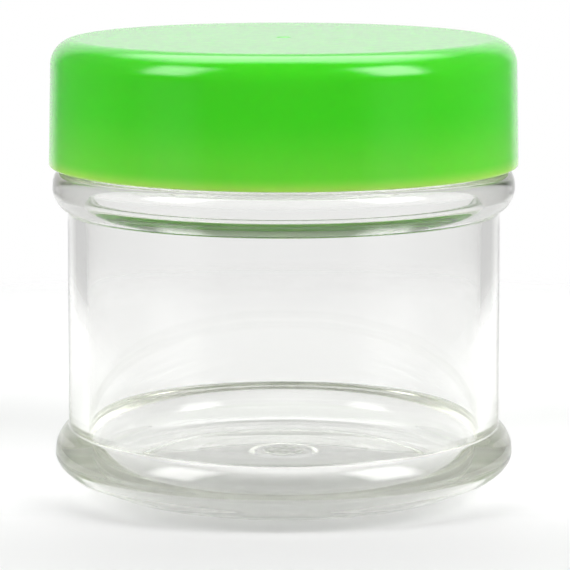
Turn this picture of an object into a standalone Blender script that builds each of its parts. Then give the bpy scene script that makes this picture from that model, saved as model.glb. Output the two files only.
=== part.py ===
"""A small clear jar with a green screw cap, for keeping a little disinfectant on a manicure desk.

It is modelled in metres with +Z up. The origin is the centre of the foot, on the surface that the
jar stands on, and every round feature shares the vertical axis through it. The jar is moulded in
one piece with its neck thread, the cap is a single wall with a thread inside, and a loose liner
disc between them seals the rim.
"""

import math

import bmesh
import bpy

# Driving dimensions, in metres.
CAP_DIAMETER = 0.0530  # across the bottom of the skirt, the widest place
CLOSED_HEIGHT = 0.0513  # foot to cap top
GAP = 0.0003  # between pieces that touch
THREAD_LEAD = 0.0042  # rise of the cap in one turn
THREAD_TURNS = 1.25
SEGMENTS = 60  # facets round every turned piece
FLOOR_STEPS = 6  # facets along the floor and the underside

# Cap.
SKIRT_BOTTOM = 0.0370
CAP_DRAFT = 0.00026  # by which the skirt is narrower in radius at its top
CAP_WALL = 0.0013
CAP_TOP_THICKNESS = 0.0014
CAP_TOP_ROUND = 0.00296
CAP_LIP_ROUND = 0.0003
CAP_LEAD_IN = 0.0004  # height of the small bevel inside the lip
CAP_INNER_ROUND = 0.0006
CAP_GATE_RADIUS = 0.0009
CAP_GATE_DEPTH = 0.00025

# Liner disc, which sits under the cap top and is wider than the crest of the cap thread.
LINER_THICKNESS = 0.0009
LINER_RADIUS = 0.0246
LINER_EDGE = 0.00015

# Jar: two beads of one width, with the nearly straight body between them.
BEAD_RADIUS = 0.02614
BODY_RADIUS_TOP = 0.02446
BODY_RADIUS_BOTTOM = 0.02456
JUNCTION_FILLET = 0.0004

BASE_BEAD_Z = 0.0043  # height of the base bead's widest place
BASE_BEAD_ROUND = 0.0039
HEEL_CENTRE_RADIUS = 0.0142  # the heel is part of an ellipse with its centre here, level with the bead
HEEL_SWEEP = 72  # degrees of that ellipse, from the bead's widest place in to the foot
FOOT_INNER_RADIUS = 0.0166
FOOT_INNER_ROUND = 0.0005
RECESS_DEPTH = 0.0015  # of the hollow inside the foot, at its edge
RECESS_FILLET = 0.0007
WELL_RADIUS = 0.0040  # the shallow well round the moulding gate, in the underside
WELL_DEPTH = 0.0004
WELL_SLOPE = 0.0006
GATE_RADIUS = 0.0012

SHOULDER_BEAD_Z = 0.0345
SHOULDER_ROUND = 0.0027
SHOULDER_TOP_REACH = 0.0015  # how far in the bead's rounded top reaches
SHOULDER_FULLNESS = 2.6
LEDGE_Z = 0.0366

NECK_RADIUS = 0.02385
NECK_FILLET = 0.0004
RIM_OUTER_ROUND = 0.0005
RIM_INNER_ROUND = 0.0004
CAVITY_RADIUS_TOP = 0.02245
CAVITY_RADIUS_BOTTOM = 0.02235
CORNER_REACH = 0.0030  # the rounded corner between wall and floor is taller than it is wide
CORNER_HEIGHT = 0.0039
FLOOR_EDGE_Z = 0.0032
FLOOR_RISE = 0.0011  # the floor and the recess under it are both raised in the middle

# Thread ridges. Both rise with the lead, and the cap's ridge runs just under the neck's.
RIDGE_ROOT_HALF_WIDTH = 0.00105
RIDGE_CREST_HALF_WIDTH = 0.00052
RIDGE_BURIED = 0.0004  # depth of the ridge's foot inside the wall
NECK_CREST_RADIUS = 0.02475
CAP_CREST_RADIUS = 0.0241
NECK_THREAD_LOW_Z = 0.0413
RIDGE_SPACING = 0.0018  # from the neck ridge down to the cap ridge, centre to centre
RIDGE_FADE_TURNS = 0.07
RIDGE_END_SHARE = 0.15  # of the ridge's full height, where its end lies inside the wall

# Heights that follow from the stack under the cap top.
CAP_RADIUS = CAP_DIAMETER / 2
CAP_UNDERSIDE_Z = CLOSED_HEIGHT - CAP_TOP_THICKNESS
LINER_TOP_Z = CAP_UNDERSIDE_Z - GAP
LINER_BOTTOM_Z = LINER_TOP_Z - LINER_THICKNESS
RIM_Z = LINER_BOTTOM_Z - GAP


def clear_scene():
    for thing in list(bpy.data.objects):
        bpy.data.objects.remove(thing, do_unlink=True)


def material(name, colour, roughness, transmission=0.0, ior=1.5):
    made = bpy.data.materials.new(name)
    made.use_nodes = True
    made.diffuse_color = (*colour, 1.0)
    shader = made.node_tree.nodes["Principled BSDF"]
    shader.inputs["Base Color"].default_value = (*colour, 1.0)
    shader.inputs["Roughness"].default_value = roughness
    shader.inputs["Metallic"].default_value = 0.0
    shader.inputs["Transmission Weight"].default_value = transmission
    shader.inputs["IOR"].default_value = ior
    return made


def arc(centre, reach_r, reach_z, start, end, steps, fullness=2.0):
    """(radius, height) points on part of an ellipse, in degrees from outward towards up.

    A fullness over 2 makes the curve squarer than an ellipse.
    """
    points = []
    for i in range(steps + 1):
        angle = math.radians(start + (end - start) * i / steps)
        across = math.copysign(abs(math.cos(angle)) ** (2 / fullness), math.cos(angle))
        up = math.copysign(abs(math.sin(angle)) ** (2 / fullness), math.sin(angle))
        points.append((centre[0] + reach_r * across, centre[1] + reach_z * up))
    return points


def round_arc(centre, radius, start, end, steps):
    return arc(centre, radius, radius, start, end, steps)


def bead_meets_wall(bead_centre, bead_round, wall_radius, side, steps):
    """The points of a round bead and the small fillet where it meets the body wall.

    side is 1 for a wall above the bead and -1 for one below. The points run from the bead's
    widest place to the wall.
    """
    across = wall_radius + JUNCTION_FILLET - bead_centre[0]
    rise = math.sqrt((bead_round + JUNCTION_FILLET) ** 2 - across**2)
    tangent = math.degrees(math.atan2(rise, across)) * side
    fillet_centre = (wall_radius + JUNCTION_FILLET, bead_centre[1] + rise * side)
    bead = round_arc(bead_centre, bead_round, 0, tangent, steps)
    fillet = round_arc(fillet_centre, JUNCTION_FILLET, tangent + 180, 180, 2)
    return bead + fillet[1:]


def turned(name, profile, finish):
    """A closed body made by turning a profile of (radius, height) points round the Z axis."""
    shape = bmesh.new()
    points = [shape.verts.new((radius, 0.0, height)) for radius, height in profile]
    edges = [shape.edges.new(pair) for pair in zip(points, points[1:])]
    bmesh.ops.spin(
        shape,
        geom=points + edges,
        cent=(0, 0, 0),
        axis=(0, 0, 1),
        angle=math.tau,
        steps=SEGMENTS,
    )
    return finished(name, shape, finish)


def finished(name, shape, finish):
    """Turns a bmesh into a named object with its faces pointing out and its material on."""
    bmesh.ops.remove_doubles(shape, verts=shape.verts, dist=1e-6)
    bmesh.ops.recalc_face_normals(shape, faces=shape.faces)
    mesh = bpy.data.meshes.new(name)
    shape.to_mesh(mesh)
    shape.free()
    mesh.shade_smooth()
    mesh.set_sharp_from_angle(angle=math.radians(35))
    mesh.materials.append(finish)
    made = bpy.data.objects.new(name, mesh)
    bpy.context.scene.collection.objects.link(made)
    return made


def thread_ridge(name, wall_radius, crest_radius, low_z, finish):
    """A helical ridge of right-hand thread that fades into the wall at both ends."""
    outward = math.copysign(1, crest_radius - wall_radius)
    root = wall_radius - outward * RIDGE_BURIED
    shape = bmesh.new()
    rings = []
    steps = round(THREAD_TURNS * SEGMENTS)
    for i in range(steps + 1):
        turns = THREAD_TURNS * i / steps
        from_end = min(turns, THREAD_TURNS - turns)
        growth = min(1.0, from_end / RIDGE_FADE_TURNS)
        fade = RIDGE_END_SHARE + (1 - RIDGE_END_SHARE) * growth
        crest = root + (crest_radius - root) * fade
        middle = low_z + THREAD_LEAD * turns
        section = [
            (root, middle - RIDGE_ROOT_HALF_WIDTH),
            (crest, middle - RIDGE_CREST_HALF_WIDTH),
            (crest, middle + RIDGE_CREST_HALF_WIDTH),
            (root, middle + RIDGE_ROOT_HALF_WIDTH),
        ]
        turn = math.tau * turns
        across, along = math.cos(turn), math.sin(turn)
        rings.append([shape.verts.new((r * across, r * along, z)) for r, z in section])
    for ring, following in zip(rings, rings[1:]):
        for j in range(4):
            k = (j + 1) % 4
            shape.faces.new((ring[j], ring[k], following[k], following[j]))
    shape.faces.new(rings[0])
    shape.faces.new(rings[-1])
    ridge = finished(name, shape, finish)
    ridge.hide_render = True
    ridge.display_type = "WIRE"
    return ridge


def add_thread(piece, ridge):
    union = piece.modifiers.new("thread", "BOOLEAN")
    union.operation = "UNION"
    union.solver = "EXACT"
    union.object = ridge


def raised(radius, reach):
    """How far a floor of a given reach is raised at a radius: an S-curve, level at both ends."""
    share = 1 - radius / reach
    return FLOOR_RISE * share**2 * (3 - 2 * share)


def inside_profile():
    """The cavity, from the middle of the floor up to the rim."""
    reach = CAVITY_RADIUS_BOTTOM - CORNER_REACH
    corner = (reach, FLOOR_EDGE_Z + CORNER_HEIGHT)
    rim = (CAVITY_RADIUS_TOP + RIM_INNER_ROUND, RIM_Z - RIM_INNER_ROUND)
    radii = [reach * i / FLOOR_STEPS for i in range(FLOOR_STEPS)]
    return (
        [(radius, FLOOR_EDGE_Z + raised(radius, reach)) for radius in radii]
        + arc(corner, CORNER_REACH, CORNER_HEIGHT, -90, 0, 7)
        + round_arc(rim, RIM_INNER_ROUND, 180, 90, 3)
    )


def neck_profile():
    """The rim's outer edge, the neck wall and the ledge that the skirt comes down to."""
    rim = (NECK_RADIUS - RIM_OUTER_ROUND, RIM_Z - RIM_OUTER_ROUND)
    foot = (NECK_RADIUS + NECK_FILLET, LEDGE_Z + NECK_FILLET)
    return round_arc(rim, RIM_OUTER_ROUND, 90, 0, 3) + round_arc(foot, NECK_FILLET, 180, 270, 2)


def shoulder_profile():
    top = (BEAD_RADIUS - SHOULDER_TOP_REACH, SHOULDER_BEAD_Z)
    height = LEDGE_Z - SHOULDER_BEAD_Z
    centre = (BEAD_RADIUS - SHOULDER_ROUND, SHOULDER_BEAD_Z)
    rounded_top = arc(top, SHOULDER_TOP_REACH, height, 90, 0, 7, SHOULDER_FULLNESS)
    below = bead_meets_wall(centre, SHOULDER_ROUND, BODY_RADIUS_TOP, -1, 5)
    return rounded_top + below[1:]


def base_profile():
    centre = (BEAD_RADIUS - BASE_BEAD_ROUND, BASE_BEAD_Z)
    above = bead_meets_wall(centre, BASE_BEAD_ROUND, BODY_RADIUS_BOTTOM, 1, 5)
    heel_centre = (HEEL_CENTRE_RADIUS, BASE_BEAD_Z)
    heel_reach = BEAD_RADIUS - HEEL_CENTRE_RADIUS
    heel_depth = BASE_BEAD_Z / math.sin(math.radians(HEEL_SWEEP))
    heel = arc(heel_centre, heel_reach, heel_depth, 0, -HEEL_SWEEP, 8)
    return above[::-1] + heel[1:]


def underside_profile():
    """The inner edge of the foot, the recess and the gate well, in to the axis."""
    foot = (FOOT_INNER_RADIUS, FOOT_INNER_ROUND)
    wall_radius = FOOT_INNER_RADIUS - FOOT_INNER_ROUND
    recess = (wall_radius - RECESS_FILLET, RECESS_DEPTH - RECESS_FILLET)
    reach = recess[0]
    span = reach - WELL_RADIUS
    radii = [reach - span * i / FLOOR_STEPS for i in range(1, FLOOR_STEPS + 1)]
    middle_z = RECESS_DEPTH + FLOOR_RISE
    well_z = middle_z + WELL_DEPTH
    return (
        round_arc(foot, FOOT_INNER_ROUND, 270, 180, 3)
        + round_arc(recess, RECESS_FILLET, 0, 90, 3)
        + [(radius, RECESS_DEPTH + raised(radius, reach)) for radius in radii]
        + [(WELL_RADIUS - WELL_SLOPE, well_z), (GATE_RADIUS, well_z)]
        + [(GATE_RADIUS / 2, middle_z), (0.0, middle_z)]
    )


def jar_body():
    clear = material("clear_plastic", (0.93, 0.95, 0.93), 0.03, transmission=1.0, ior=1.58)
    profile = (
        inside_profile()
        + neck_profile()
        + shoulder_profile()
        + base_profile()
        + underside_profile()
    )
    jar = turned("jar_body", profile, clear)
    ridge = thread_ridge(
        "neck_thread_form", NECK_RADIUS, NECK_CREST_RADIUS, NECK_THREAD_LOW_Z, clear
    )
    add_thread(jar, ridge)
    return jar


def cap_profile():
    wall_top = CLOSED_HEIGHT - CAP_TOP_ROUND
    wall_top_radius = CAP_RADIUS - CAP_DRAFT
    inner_radius = CAP_RADIUS - CAP_WALL
    inner_top_radius = wall_top_radius - CAP_WALL + CAP_DRAFT / 2
    lip = (CAP_RADIUS - CAP_LIP_ROUND, SKIRT_BOTTOM + CAP_LIP_ROUND)
    inner_corner = (inner_top_radius - CAP_INNER_ROUND, CAP_UNDERSIDE_Z - CAP_INNER_ROUND)
    return (
        [(0.0, CLOSED_HEIGHT - CAP_GATE_DEPTH)]
        + [(CAP_GATE_RADIUS / 2, CLOSED_HEIGHT - CAP_GATE_DEPTH), (CAP_GATE_RADIUS, CLOSED_HEIGHT)]
        + round_arc((wall_top_radius - CAP_TOP_ROUND, wall_top), CAP_TOP_ROUND, 90, 0, 8)
        + round_arc(lip, CAP_LIP_ROUND, 0, -90, 3)
        + [(inner_radius + CAP_LIP_ROUND, SKIRT_BOTTOM), (inner_radius, SKIRT_BOTTOM + CAP_LEAD_IN)]
        + round_arc(inner_corner, CAP_INNER_ROUND, 0, 90, 3)
        + [(0.0, CAP_UNDERSIDE_Z)]
    )


def screw_cap():
    green = material("green_plastic", (0.07, 0.62, 0.02), 0.22)
    cap = turned("screw_cap", cap_profile(), green)
    ridge = thread_ridge(
        "cap_thread_form",
        CAP_RADIUS - CAP_WALL,
        CAP_CREST_RADIUS,
        NECK_THREAD_LOW_Z - RIDGE_SPACING,
        green,
    )
    add_thread(cap, ridge)
    return cap


def sealing_liner():
    foam = material("liner_foam", (0.85, 0.87, 0.84), 0.6)
    inner_radius = LINER_RADIUS - LINER_EDGE
    profile = [
        (0.0, LINER_BOTTOM_Z),
        (inner_radius, LINER_BOTTOM_Z),
        (LINER_RADIUS, LINER_BOTTOM_Z + LINER_EDGE),
        (LINER_RADIUS, LINER_TOP_Z - LINER_EDGE),
        (inner_radius, LINER_TOP_Z),
        (0.0, LINER_TOP_Z),
    ]
    return turned("sealing_liner", profile, foam)


def main():
    clear_scene()
    jar_body()
    screw_cap()
    sealing_liner()


main()
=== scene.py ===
"""The finished look of the small clear jar with a green screw cap.

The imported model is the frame: every height and radius that it can give is read from its boxes,
and each detailed piece rides on the CAD body that it stands for. All three pieces are turned
about the Z axis at a fineness that lets clear plastic refract cleanly.
"""

import math

import bpy
import numpy as np
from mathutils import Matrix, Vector


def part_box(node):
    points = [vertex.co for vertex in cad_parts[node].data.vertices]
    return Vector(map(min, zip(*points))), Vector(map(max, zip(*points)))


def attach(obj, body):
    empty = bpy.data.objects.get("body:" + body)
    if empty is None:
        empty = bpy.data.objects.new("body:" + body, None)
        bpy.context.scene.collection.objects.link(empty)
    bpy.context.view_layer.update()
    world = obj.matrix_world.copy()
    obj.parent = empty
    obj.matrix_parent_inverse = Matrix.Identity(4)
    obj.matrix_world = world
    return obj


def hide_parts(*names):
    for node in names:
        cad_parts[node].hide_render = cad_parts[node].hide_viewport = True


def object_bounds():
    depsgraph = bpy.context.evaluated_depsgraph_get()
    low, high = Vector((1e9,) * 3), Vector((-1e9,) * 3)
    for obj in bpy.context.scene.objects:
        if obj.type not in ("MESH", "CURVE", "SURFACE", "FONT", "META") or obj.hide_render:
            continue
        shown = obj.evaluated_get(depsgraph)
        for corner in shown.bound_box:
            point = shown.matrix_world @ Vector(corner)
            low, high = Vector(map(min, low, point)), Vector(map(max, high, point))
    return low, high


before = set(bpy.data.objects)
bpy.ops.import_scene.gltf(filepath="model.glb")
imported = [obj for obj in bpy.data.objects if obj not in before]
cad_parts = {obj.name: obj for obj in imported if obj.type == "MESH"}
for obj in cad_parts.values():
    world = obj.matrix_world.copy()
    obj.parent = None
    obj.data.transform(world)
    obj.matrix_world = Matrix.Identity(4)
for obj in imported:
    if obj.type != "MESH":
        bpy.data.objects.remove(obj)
cad_low, cad_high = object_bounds()
jar_low, jar_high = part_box("jar_body")
cap_low, cap_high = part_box("screw_cap")
liner_low, liner_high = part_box("sealing_liner")

# Sizes that the frame gives, in metres.
CAP_RADIUS = cap_high.x
CAP_TOP_Z = cap_high.z
SKIRT_BOTTOM_Z = cap_low.z
BEAD_RADIUS = jar_high.x
RIM_Z = jar_high.z
LINER_RADIUS = liner_high.x
LINER_BOTTOM_Z = liner_low.z
LINER_TOP_Z = liner_high.z

# Jar details, in metres, as in the CAD model.
BODY_RADIUS_TOP = BEAD_RADIUS - 0.00168
BODY_RADIUS_BOTTOM = BEAD_RADIUS - 0.00158
JUNCTION_FILLET = 0.0004
BASE_BEAD_Z = 0.0043
BASE_BEAD_ROUND = 0.0039
HEEL_CENTRE_RADIUS = 0.0142
HEEL_SWEEP = 72  # degrees
FOOT_INNER_RADIUS = 0.0166
FOOT_INNER_ROUND = 0.0005
RECESS_DEPTH = 0.0015
RECESS_FILLET = 0.0007
WELL_RADIUS = 0.0040
WELL_DEPTH = 0.0004
SCAR_RADIUS = 0.0023
SHOULDER_BEAD_Z = 0.0345
SHOULDER_ROUND = 0.0027
SHOULDER_TOP_REACH = 0.0015
SHOULDER_FULLNESS = 2.6
LEDGE_Z = 0.0366
NECK_RADIUS = 0.02385
NECK_FILLET = 0.0004
RIM_ROUND = 0.00045
CAVITY_RADIUS_TOP = 0.02245
CAVITY_RADIUS_BOTTOM = 0.02235
CORNER_REACH = 0.0030
CORNER_HEIGHT = 0.0039
FLOOR_EDGE_Z = 0.0032
FLOOR_RISE = 0.0011  # the floor and the recess under it are both raised in the middle

# Cap details.
CAP_DRAFT = 0.00026
CAP_WALL = 0.0013
CAP_TOP_THICKNESS = 0.0014
CAP_TOP_ROUND = 0.00296
CAP_LIP_ROUND = 0.0003
CAP_INNER_ROUND = 0.0006
CAP_GATE_RADIUS = 0.0011
CAP_GATE_DEPTH = 0.00022
CAP_NIB_HEIGHT = 0.00014  # of the nib left standing in the middle of the gate mark

# Thread ridges.
THREAD_LEAD = 0.0042
THREAD_TURNS = 1.25
RIDGE_ROOT_HALF_WIDTH = 0.00105
RIDGE_CREST_HALF_WIDTH = 0.00052
NECK_RIDGE_HEIGHT = 0.0009
CAP_RIDGE_HEIGHT = 0.0011
NECK_THREAD_LOW_Z = 0.0413
CAP_THREAD_LOW_Z = 0.0395
RIDGE_FADE_TURNS = 0.07

SEGMENTS = 288  # round each turned piece
FINE = 0.00025  # longest step along a profile that carries detail
COARSE = 0.0012


# Profiles: lists of (radius, height) points.


def arc(centre, reach_r, reach_z, start, end, steps, fullness=2.0):
    """Part of an ellipse, in degrees from outward towards up; a fullness over 2 is squarer."""
    points = []
    for i in range(steps + 1):
        angle = math.radians(start + (end - start) * i / steps)
        across = math.copysign(abs(math.cos(angle)) ** (2 / fullness), math.cos(angle))
        up = math.copysign(abs(math.sin(angle)) ** (2 / fullness), math.sin(angle))
        points.append((centre[0] + reach_r * across, centre[1] + reach_z * up))
    return points


def round_arc(centre, radius, start, end, steps):
    return arc(centre, radius, radius, start, end, steps)


def line(start, end, longest):
    """The points between two ends of a straight stretch, without the ends."""
    length = math.dist(start, end)
    steps = max(1, math.ceil(length / longest))
    between = [i / steps for i in range(1, steps)]
    return [tuple(a + (b - a) * t for a, b in zip(start, end)) for t in between]


def joined(*stretches, longest=COARSE):
    """One profile from several stretches, with points added along the straights between them."""
    points = list(stretches[0])
    for stretch in stretches[1:]:
        points += line(points[-1], stretch[0], longest)
        points += stretch
    return points


def bead_meets_wall(bead_centre, bead_round, wall_radius, side, steps):
    """A round bead from its widest place, and its fillet into the wall above (1) or below (-1)."""
    across = wall_radius + JUNCTION_FILLET - bead_centre[0]
    rise = math.sqrt((bead_round + JUNCTION_FILLET) ** 2 - across**2)
    tangent = math.degrees(math.atan2(rise, across)) * side
    fillet_centre = (wall_radius + JUNCTION_FILLET, bead_centre[1] + rise * side)
    bead = round_arc(bead_centre, bead_round, 0, tangent, steps)
    return bead + round_arc(fillet_centre, JUNCTION_FILLET, tangent + 180, 180, 8)[1:]


def jar_profile():
    corner = (CAVITY_RADIUS_BOTTOM - CORNER_REACH, FLOOR_EDGE_Z + CORNER_HEIGHT)
    inner_rim = (CAVITY_RADIUS_TOP + RIM_ROUND, RIM_Z - RIM_ROUND)
    outer_rim = (NECK_RADIUS - RIM_ROUND, RIM_Z - RIM_ROUND)
    neck_foot = (NECK_RADIUS + NECK_FILLET, LEDGE_Z + NECK_FILLET)
    inside = joined(
        raised_floor(corner[0], FLOOR_EDGE_Z),
        arc(corner, CORNER_REACH, CORNER_HEIGHT, -90, 0, 24)[1:],
        round_arc(inner_rim, RIM_ROUND, 180, 90, 8),
    )
    neck = joined(
        round_arc(outer_rim, RIM_ROUND, 90, 0, 8),
        round_arc(neck_foot, NECK_FILLET, 180, 270, 8),
        longest=FINE,
    )
    shoulder_top = arc(
        (BEAD_RADIUS - SHOULDER_TOP_REACH, SHOULDER_BEAD_Z),
        SHOULDER_TOP_REACH,
        LEDGE_Z - SHOULDER_BEAD_Z,
        90,
        0,
        24,
        SHOULDER_FULLNESS,
    )
    shoulder_centre = (BEAD_RADIUS - SHOULDER_ROUND, SHOULDER_BEAD_Z)
    base_centre = (BEAD_RADIUS - BASE_BEAD_ROUND, BASE_BEAD_Z)
    heel_centre = (HEEL_CENTRE_RADIUS, BASE_BEAD_Z)
    heel_reach = BEAD_RADIUS - HEEL_CENTRE_RADIUS
    heel_depth = BASE_BEAD_Z / math.sin(math.radians(HEEL_SWEEP))
    outside = joined(
        shoulder_top,
        bead_meets_wall(shoulder_centre, SHOULDER_ROUND, BODY_RADIUS_TOP, -1, 20)[1:],
        bead_meets_wall(base_centre, BASE_BEAD_ROUND, BODY_RADIUS_BOTTOM, 1, 20)[::-1],
        arc(heel_centre, heel_reach, heel_depth, 0, -HEEL_SWEEP, 36)[1:],
    )
    foot = (FOOT_INNER_RADIUS, FOOT_INNER_ROUND)
    recess_radius = FOOT_INNER_RADIUS - FOOT_INNER_ROUND - RECESS_FILLET
    recess = (recess_radius, RECESS_DEPTH - RECESS_FILLET)
    underside = joined(
        round_arc(foot, FOOT_INNER_ROUND, 270, 180, 10),
        round_arc(recess, RECESS_FILLET, 0, 90, 12),
        [(r, z + gate_well(r)) for r, z in raised_floor(recess_radius, RECESS_DEPTH)[-2::-1]],
    )
    return joined(inside, neck, outside, underside, longest=FINE)


def raised_floor(reach, edge_z):
    """The points of a floor from the axis out to its edge, gently raised in the middle."""
    steps = 80
    radii = [reach * i / steps for i in range(steps + 1)]
    return [(radius, edge_z + FLOOR_RISE * smooth(radius, reach, 0.0)) for radius in radii]


def gate_well(radius):
    """The depth of the shallow well in the underside, round the stub of the moulding gate."""
    sunk = smooth(radius, WELL_RADIUS, WELL_RADIUS * 0.8)
    stub = smooth(radius, SCAR_RADIUS, SCAR_RADIUS * 0.8)
    return WELL_DEPTH * (sunk - 0.5 * stub)


def smooth(value, edge_0, edge_1):
    """0 at the first edge, 1 at the second, with an S-curve between. Takes numbers or arrays."""
    share = np.clip((value - edge_0) / (edge_1 - edge_0), 0.0, 1.0)
    return share * share * (3 - 2 * share)


def cap_profile():
    top_radius = CAP_RADIUS - CAP_DRAFT
    inner_radius = CAP_RADIUS - CAP_WALL
    inner_top_radius = inner_radius - CAP_DRAFT / 2
    underside_z = CAP_TOP_Z - CAP_TOP_THICKNESS
    top_round = (top_radius - CAP_TOP_ROUND, CAP_TOP_Z - CAP_TOP_ROUND)
    lip = (CAP_RADIUS - CAP_LIP_ROUND, SKIRT_BOTTOM_Z + CAP_LIP_ROUND)
    inner_lip = (inner_radius + CAP_LIP_ROUND, SKIRT_BOTTOM_Z + CAP_LIP_ROUND)
    inner_corner = (inner_top_radius - CAP_INNER_ROUND, underside_z - CAP_INNER_ROUND)
    top = joined(gate_mark(), round_arc(top_round, CAP_TOP_ROUND, 90, 0, 32))
    rim = round_arc(lip, CAP_LIP_ROUND, 0, -90, 8) + round_arc(inner_lip, CAP_LIP_ROUND, 270, 180, 8)
    inner = joined(rim, round_arc(inner_corner, CAP_INNER_ROUND, 0, 90, 10), longest=FINE)
    return joined(top, inner, [(0.0, underside_z)])


def gate_mark():
    """The little sunk mark in the middle of the cap, where the mould filled it."""
    points = []
    steps = 28
    for i in range(steps + 1):
        radius = CAP_GATE_RADIUS * i / steps
        sunk = CAP_GATE_DEPTH * (1 - smooth(radius, 0.00045, CAP_GATE_RADIUS * 0.8))
        nib = CAP_NIB_HEIGHT * (1 - smooth(radius, 0.0, 0.00030))
        points.append((radius, CAP_TOP_Z - sunk + nib))
    return points


def liner_profile():
    edge = 0.00018
    return joined(
        [(0.0, LINER_BOTTOM_Z)],
        round_arc((LINER_RADIUS - edge, LINER_BOTTOM_Z + edge), edge, -90, 0, 5),
        round_arc((LINER_RADIUS - edge, LINER_TOP_Z - edge), edge, 0, 90, 5),
        [(0.0, LINER_TOP_Z)],
    )


# Meshes.


def ridge(angle, height, low_z):
    """How much of a thread ridge, from 0 to 1, stands on a wall at each angle and height."""
    share = np.zeros_like(height)
    for lap in range(math.ceil(THREAD_TURNS)):
        turns = angle / math.tau + lap
        middle = low_z + THREAD_LEAD * turns
        across = smooth(np.abs(height - middle), RIDGE_ROOT_HALF_WIDTH, RIDGE_CREST_HALF_WIDTH)
        from_end = np.minimum(turns, THREAD_TURNS - turns)
        share = np.maximum(share, across * smooth(from_end, 0.0, RIDGE_FADE_TURNS))
    return share


def turned(name, profile, thread=None):
    """A closed, smooth-shaded mesh turned about Z. thread moves the radius of each ring's points."""
    rings = np.array(profile[1:-1])
    angle = np.arange(SEGMENTS) * math.tau / SEGMENTS
    radius = np.repeat(rings[:, :1], SEGMENTS, axis=1)
    height = np.repeat(rings[:, 1:], SEGMENTS, axis=1)
    if thread is not None:
        radius = radius + thread(angle[None, :], height, radius)
    points = np.stack([radius * np.cos(angle), radius * np.sin(angle), height], axis=-1)
    points = points.reshape(-1, 3)
    first, last = len(points), len(points) + 1
    points = np.vstack([points, [0, 0, profile[0][1]], [0, 0, profile[-1][1]]])
    turn = [(j, (j + 1) % SEGMENTS) for j in range(SEGMENTS)]
    faces = [(first, j, k) for j, k in turn]
    for i in range(len(rings) - 1):
        low, high = i * SEGMENTS, (i + 1) * SEGMENTS
        faces += [(low + j, high + j, high + k, low + k) for j, k in turn]
    end = (len(rings) - 1) * SEGMENTS
    faces += [(last, end + k, end + j) for j, k in turn]
    mesh = bpy.data.meshes.new(name)
    mesh.from_pydata(points.tolist(), [], faces)
    mesh.shade_smooth()
    made = bpy.data.objects.new(name, mesh)
    bpy.context.scene.collection.objects.link(made)
    return made


def neck_thread(angle, height, radius):
    on_wall = (radius > NECK_RADIUS - 0.0002) & (height > LEDGE_Z + NECK_FILLET)
    return ridge(angle, height, NECK_THREAD_LOW_Z) * NECK_RIDGE_HEIGHT * on_wall


def cap_thread(angle, height, radius):
    on_wall = (radius < CAP_RADIUS - CAP_WALL + 0.0001) & (height < CAP_TOP_Z - 2 * CAP_TOP_THICKNESS)
    return -ridge(angle, height, CAP_THREAD_LOW_Z) * CAP_RIDGE_HEIGHT * on_wall


# Materials.


class Nodes:
    """A node tree, with short ways to add and join its nodes."""

    def __init__(self, owner):
        owner.use_nodes = True
        self.tree = owner.node_tree

    def add(self, kind, **settings):
        node = self.tree.nodes.new(kind)
        for key, value in settings.items():
            setattr(node, key, value)
        return node

    def put(self, socket, value):
        """Sets a socket to a number or colour, or links it to another node's output."""
        if isinstance(value, bpy.types.NodeSocket):
            self.tree.links.new(value, socket)
        else:
            socket.default_value = value

    def maths(self, operation, *values):
        node = self.add("ShaderNodeMath", operation=operation)
        for socket, value in zip(node.inputs, values):
            self.put(socket, value)
        return node.outputs["Value"]

    def ramp(self, value, low, high, low_to=0.0, high_to=1.0):
        """An S-curve from one value at low to another at high; low may be over high."""
        node = self.add("ShaderNodeMapRange", interpolation_type="SMOOTHSTEP")
        self.put(node.inputs["Value"], value)
        node.inputs["From Min"].default_value = low
        node.inputs["From Max"].default_value = high
        node.inputs["To Min"].default_value = low_to
        node.inputs["To Max"].default_value = high_to
        return node.outputs["Result"]

    def distance(self, across, along):
        """The length of a flat vector from its two parts."""
        squares = self.maths("MULTIPLY_ADD", across, across, self.maths("MULTIPLY", along, along))
        return self.maths("SQRT", squares)

    def split(self, vector):
        node = self.add("ShaderNodeSeparateXYZ")
        self.put(node.inputs["Vector"], vector)
        return [node.outputs[letter] for letter in "XYZ"]


class Look(Nodes):
    """A material built round a Principled shader, in the object's own coordinates."""

    def __init__(self, name):
        self.material = bpy.data.materials.new(name)
        super().__init__(self.material)
        self.shader = self.tree.nodes["Principled BSDF"]
        self.place = self.add("ShaderNodeTexCoord").outputs["Object"]

    def set(self, socket_name, value):
        self.put(self.shader.inputs[socket_name], value)

    def noise(self, scale, detail=3.0, roughness=0.55, stretch=(1, 1, 1)):
        """Soft noise whose scale is in waves per metre."""
        mapping = self.add("ShaderNodeMapping")
        mapping.inputs["Scale"].default_value = stretch
        self.put(mapping.inputs["Vector"], self.place)
        node = self.add("ShaderNodeTexNoise")
        self.put(node.inputs["Vector"], mapping.outputs["Vector"])
        node.inputs["Scale"].default_value = scale
        node.inputs["Detail"].default_value = detail
        node.inputs["Roughness"].default_value = roughness
        return node.outputs["Fac"]

    def mix(self, share, colour_a, colour_b):
        node = self.add("ShaderNodeMix", data_type="RGBA")
        self.put(node.inputs["Factor"], share)
        self.put(node.inputs[6], colour_a)
        self.put(node.inputs[7], colour_b)
        return node.outputs[2]

    def bump(self, height, distance, strength=1.0, after=None):
        node = self.add("ShaderNodeBump")
        self.put(node.inputs["Height"], height)
        node.inputs["Distance"].default_value = distance
        node.inputs["Strength"].default_value = strength
        if after is not None:
            self.put(node.inputs["Normal"], after)
        return node.outputs["Normal"]


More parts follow.
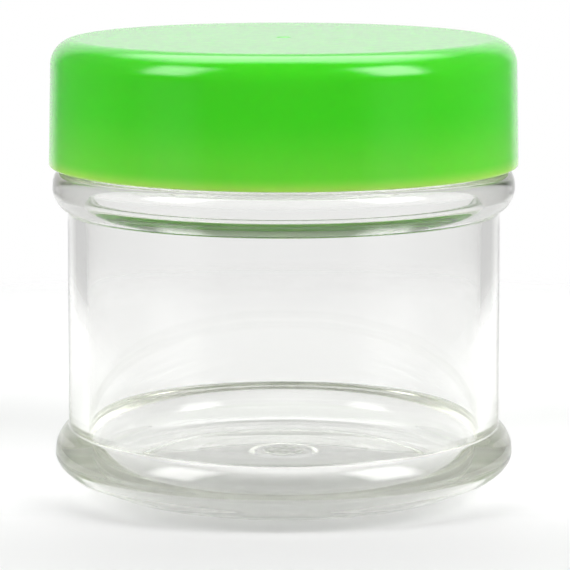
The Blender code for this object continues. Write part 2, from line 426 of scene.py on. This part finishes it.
def clear_plastic():
    """Moulded styrene, water clear in the thin wall and faintly olive through the thick base."""
    look = Look("clear_plastic_look")
    look.set("Transmission Weight", 1.0)
    look.set("IOR", 1.58)
    x, y, height = look.split(look.place)
    radius = look.distance(x, y)
    under = look.ramp(height, FLOOR_EDGE_Z - 0.00005, FLOOR_EDGE_Z - 0.0002)
    in_foot = look.ramp(radius, FOOT_INNER_RADIUS + 0.0015, FOOT_INNER_RADIUS + 0.0005)
    underside = look.maths("MULTIPLY", look.maths("MULTIPLY", under, in_foot), 0.4)
    wear = look.noise(900, detail=4)
    scuffs = look.ramp(wear, 0.62, 0.85, 0.0, 0.03)
    on_scar = look.maths("MULTIPLY", look.ramp(radius, SCAR_RADIUS + 0.0002, SCAR_RADIUS - 0.0006), under)
    torn = look.ramp(look.noise(2600, detail=3, stretch=(0.6, 1.3, 1)), 0.44, 0.56)
    scar = look.maths("MULTIPLY", on_scar, torn)
    look.set("Roughness", look.maths("MAXIMUM", look.maths("MAXIMUM", underside, scuffs), scar))
    look.set("Base Color", look.mix(scar, (0.95, 0.95, 0.95, 1.0), (0.42, 0.47, 0.34, 1.0)))
    flow = look.noise(60, detail=2, stretch=(1, 1, 0.35))
    look.set("Normal", look.bump(flow, 0.00001))
    depth = look.add("ShaderNodeVolumeAbsorption")
    depth.inputs["Color"].default_value = (0.935, 0.945, 0.89, 1.0)
    depth.inputs["Density"].default_value = 50.0
    look.put(look.tree.nodes["Material Output"].inputs["Volume"], depth.outputs["Volume"])
    return look.material


def green_plastic():
    """Translucent green polypropylene, with painted light in its base colour: lighter and yellower inside
    the skirt and towards its lip, where light comes through the thin plastic.
    """
    look = Look("green_plastic_look")
    x, y, height = look.split(look.place)
    radius = look.distance(x, y)
    wall_middle = CAP_RADIUS - CAP_WALL * 0.6
    # Painted light: the base colour turns lighter and yellower on the inner face of the skirt, towards
    # the skirt's lower edge and on the lip, standing in for light that comes through the thin plastic.
    on_skirt = look.ramp(height, CAP_TOP_Z - CAP_TOP_ROUND + 0.0006, CAP_TOP_Z - CAP_TOP_ROUND)
    inside = look.ramp(radius, wall_middle + 0.0002, wall_middle - 0.0002)
    inside = look.maths("MULTIPLY", inside, on_skirt)
    skirt = look.ramp(height, SKIRT_BOTTOM_Z + 0.0085, SKIRT_BOTTOM_Z - 0.0005, 0.0, 0.32)
    lip = look.ramp(height, SKIRT_BOTTOM_Z + 0.0016, SKIRT_BOTTOM_Z - 0.0002, 0.0, 0.7)
    glow = look.maths("MAXIMUM", inside, look.maths("ADD", skirt, lip))
    tone = look.ramp(look.noise(45, detail=2), 0.3, 0.7)
    body = look.mix(tone, (0.052, 0.63, 0.009, 1.0), (0.060, 0.67, 0.011, 1.0))
    look.set("Base Color", look.mix(glow, body, (0.36, 0.74, 0.10, 1.0)))
    look.set("IOR", 1.5)
    look.set("Subsurface Weight", 1.0)
    look.set("Subsurface Radius", (1.0, 1.0, 0.5))
    look.set("Subsurface Scale", 0.003)
    wear = look.noise(700, detail=5)
    look.set("Roughness", look.ramp(wear, 0.35, 0.8, 0.12, 0.2))
    ripple = look.noise(90, detail=1)
    look.set("Normal", look.bump(ripple, 0.000004))
    return look.material


def liner_foam():
    look = Look("liner_foam_look")
    cells = look.add("ShaderNodeTexVoronoi", feature="DISTANCE_TO_EDGE")
    look.put(cells.inputs["Vector"], look.place)
    cells.inputs["Scale"].default_value = 2600
    shade = look.ramp(cells.outputs["Distance"], 0.0, 0.3)
    # Painted light: the pale green of the foam stands in for green light that comes down through the cap
    # onto the liner.
    look.set("Base Color", look.mix(shade, (0.50, 0.68, 0.40, 1), (0.60, 0.80, 0.50, 1)))
    look.set("Roughness", 0.55)
    look.set("Subsurface Weight", 1.0)
    look.set("Subsurface Radius", (1.0, 1.0, 1.0))
    look.set("Subsurface Scale", 0.001)
    look.set("Normal", look.bump(shade, 0.00002))
    return look.material


# Stage, light and camera.

SHEET_RADIUS = 0.14
SHEET_FADE = (0.09, 0.13)
SHEET_BACK = 0.04
# The strength of the painted pool of light that the sheet gives off under the jar.
PAINTED_LIGHT_UNDER_JAR = 0.24
AMBIENT = 0.5
INSIDE_LOW = 0.70  # the darkest and brightest of the room, as light inside the plastic meets it
INSIDE_HIGH = 0.78
LIGHT_BOUNCES = 32  # light runs to and fro many times inside the thick base
LENS_MM = 193.6
SENSOR_MM = 36.0
CAMERA_PITCH = 8.91  # degrees down
CAMERA_DISTANCE = 0.349
CAMERA_AIM = (0.00014, 0.0, 0.0231)


def stage_floor():
    """A round white sheet, mostly behind the jar, that fades out into the white world round it. Its
    colour and its own glow carry painted shade and painted light round the jar.
    """
    sides = 96
    rim = [math.tau * i / sides for i in range(sides)]
    points = [(SHEET_RADIUS * math.cos(a), SHEET_RADIUS * math.sin(a), 0.0) for a in rim]
    mesh = bpy.data.meshes.new("floor_sheet")
    mesh.from_pydata(points, [], [range(sides)])
    sheet = bpy.data.objects.new("floor_sheet", mesh)
    sheet.location = (0.0, SHEET_BACK, cad_low.z - 0.00006)
    bpy.context.scene.collection.objects.link(sheet)
    look = Look("floor_look")
    across, along, _ = look.split(look.place)
    back = look.maths("ADD", along, SHEET_BACK)
    from_middle = look.distance(across, along)
    from_jar = look.distance(across, back)
    # Painted shadow: the sheet's colour is darker in front of the jar, where the jar's shade falls.
    white = look.ramp(back, -0.035, -0.005)
    look.set("Base Color", look.mix(white, (0.78, 0.78, 0.78, 1.0), (0.92, 0.92, 0.92, 1.0)))
    look.set("Roughness", 0.6)
    # Painted light: the sheet glows by its own emission. The glow is a painted pool of light under the
    # jar and round its foot. It is strongest level with the jar and weaker in front of it and behind it,
    # standing in for the light and shade that fall there.
    painted_light_in_front = look.ramp(back, -0.022, 0.0, 0.02, 0.31)
    painted_light_behind = look.ramp(back, 0.0, 0.05, 0.31, 0.13)
    painted_light_under = look.ramp(from_jar, 0.029, 0.019, 0.0, PAINTED_LIGHT_UNDER_JAR)
    glow = look.maths("ADD", look.maths("MINIMUM", painted_light_in_front, painted_light_behind), painted_light_under)
    look.set("Emission Color", (1.0, 1.0, 1.0, 1.0))
    look.set("Emission Strength", glow)
    look.set("Alpha", look.ramp(from_middle, SHEET_FADE[1], SHEET_FADE[0]))
    mesh.materials.append(look.material)


def world_light():
    """The room round the jar.

    Seen straight, or through the clear plastic, it is plain white. As light on the scene it is an
    even ambient. In reflections it is a studio: a white backdrop behind, a lit table at each side,
    and a dim room in front. Reflections inside the plastic meet a softened studio, whose darkest
    and brightest places are INSIDE_LOW and INSIDE_HIGH.
    """
    world = bpy.data.worlds.new("studio")
    bpy.context.scene.world = world
    world.cycles.sampling_method = "NONE"
    room = Nodes(world)
    room.tree.nodes.clear()
    x, y, z = room.split(room.add("ShaderNodeTexCoord").outputs["Generated"])
    from_front = room.maths("ABSOLUTE", room.maths("ARCTAN2", x, room.maths("MULTIPLY", y, -1.0)))
    raised = room.maths("ARCSINE", z)
    in_width = room.ramp(from_front, math.radians(134), math.radians(158))
    below_top = room.ramp(raised, math.radians(58), math.radians(50))
    backdrop = room.maths("MULTIPLY", in_width, below_top)
    dim = room.ramp(from_front, math.radians(60), math.radians(100), 0.2, 0.33)
    table = room.ramp(from_front, math.radians(34), math.radians(50))
    table = room.maths("MULTIPLY", table, room.ramp(from_front, math.radians(84), math.radians(56)))
    table = room.maths("MULTIPLY", table, room.ramp(raised, 0.0, math.radians(-4)))
    dim = room.maths("MULTIPLY_ADD", table, 0.4, dim)
    studio = room.maths("MAXIMUM", backdrop, dim)
    path = room.add("ShaderNodeLightPath").outputs
    reflected = room.maths("GREATER_THAN", path["Glossy Depth"], 0.5)
    inside = room.maths("GREATER_THAN", path["Transmission Depth"], 0.5)
    softened = room.maths("MULTIPLY_ADD", studio, INSIDE_HIGH - INSIDE_LOW, INSIDE_LOW)
    softening = room.maths("SUBTRACT", softened, studio)
    studio = room.maths("MULTIPLY_ADD", inside, softening, studio)
    straight = room.maths("MAXIMUM", path["Is Camera Ray"], path["Is Transmission Ray"])
    lighting = room.maths("MULTIPLY_ADD", straight, 1.0 - AMBIENT, AMBIENT)
    change = room.maths("MULTIPLY", reflected, room.maths("SUBTRACT", studio, lighting))
    background = room.add("ShaderNodeBackground")
    background.inputs["Color"].default_value = (1.0, 1.0, 1.0, 1.0)
    room.put(background.inputs["Strength"], room.maths("ADD", lighting, change))
    output = room.add("ShaderNodeOutputWorld")
    room.put(output.inputs["Surface"], background.outputs["Background"])


def soft_box(name, azimuth, elevation, distance, width, height, brightness):
    """A lit panel facing the jar, brightest in the middle.

    Azimuth is from the camera's side towards +X, and brightness is the radiance in the middle.
    """
    data = bpy.data.lights.new(name, "AREA")
    data.shape = "RECTANGLE"
    data.size = width
    data.size_y = height
    data.energy = math.pi * width * height
    panel = Nodes(data)
    across, along, _ = panel.split(panel.add("ShaderNodeNewGeometry").outputs["Parametric"])
    glow = brightness
    for place in across, along:
        from_edge = panel.maths("MINIMUM", place, panel.maths("SUBTRACT", 1.0, place))
        glow = panel.maths("MULTIPLY", panel.ramp(from_edge, -0.05, 0.32), glow)
    panel.put(panel.tree.nodes["Emission"].inputs["Strength"], glow)
    lamp = bpy.data.objects.new(name, data)
    turn, up = math.radians(azimuth), math.radians(elevation)
    out = Vector((math.sin(turn) * math.cos(up), -math.cos(turn) * math.cos(up), math.sin(up)))
    middle = (cad_low + cad_high) / 2
    lamp.location = middle + out * distance
    lamp.rotation_mode = "QUATERNION"
    lamp.rotation_quaternion = out.to_track_quat("Z", "Y")
    lamp.visible_camera = False
    bpy.context.scene.collection.objects.link(lamp)
    return lamp


def camera():
    """A long lens a third of a metre away, looking a little down on the jar."""
    data = bpy.data.cameras.new("camera")
    data.lens = LENS_MM
    data.sensor_width = SENSOR_MM
    data.clip_start = 0.01
    data.clip_end = 10.0
    made = bpy.data.objects.new("camera", data)
    pitch = math.radians(CAMERA_PITCH)
    away = Vector((0.0, -math.cos(pitch), math.sin(pitch)))
    made.location = Vector(CAMERA_AIM) + away * CAMERA_DISTANCE
    made.rotation_mode = "QUATERNION"
    made.rotation_quaternion = away.to_track_quat("Z", "Y")
    bpy.context.scene.collection.objects.link(made)
    bpy.context.scene.camera = made


def main():
    pieces = [
        ("jar", jar_profile(), neck_thread, clear_plastic, "jar", "jar_body", "clear_plastic"),
        ("cap", cap_profile(), cap_thread, green_plastic, "cap", "screw_cap", "green_plastic"),
        ("liner", liner_profile(), None, liner_foam, "liner", "sealing_liner", "liner_foam"),
    ]
    for name, profile, thread, look, body, node, slot in pieces:
        piece = turned(name + "_detailed", profile, thread)
        piece.data.materials.append(look())
        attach(piece, body)
        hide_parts(node)
    stage_floor()
    world_light()
    soft_box("left_box", -60, 37, 0.5, 0.28, 0.39, 6.6)
    soft_box("right_box", 60, 37, 0.5, 0.30, 0.39, 8.2)
    top = soft_box("top_panel", 180, 71, 0.6, 0.9, 0.6, 5.2)
    top.visible_diffuse = False
    camera()
    scene = bpy.context.scene
    scene.view_settings.view_transform = "Standard"
    scene.cycles.max_bounces = LIGHT_BOUNCES
    scene.cycles.glossy_bounces = LIGHT_BOUNCES
    scene.cycles.transmission_bounces = LIGHT_BOUNCES


main()
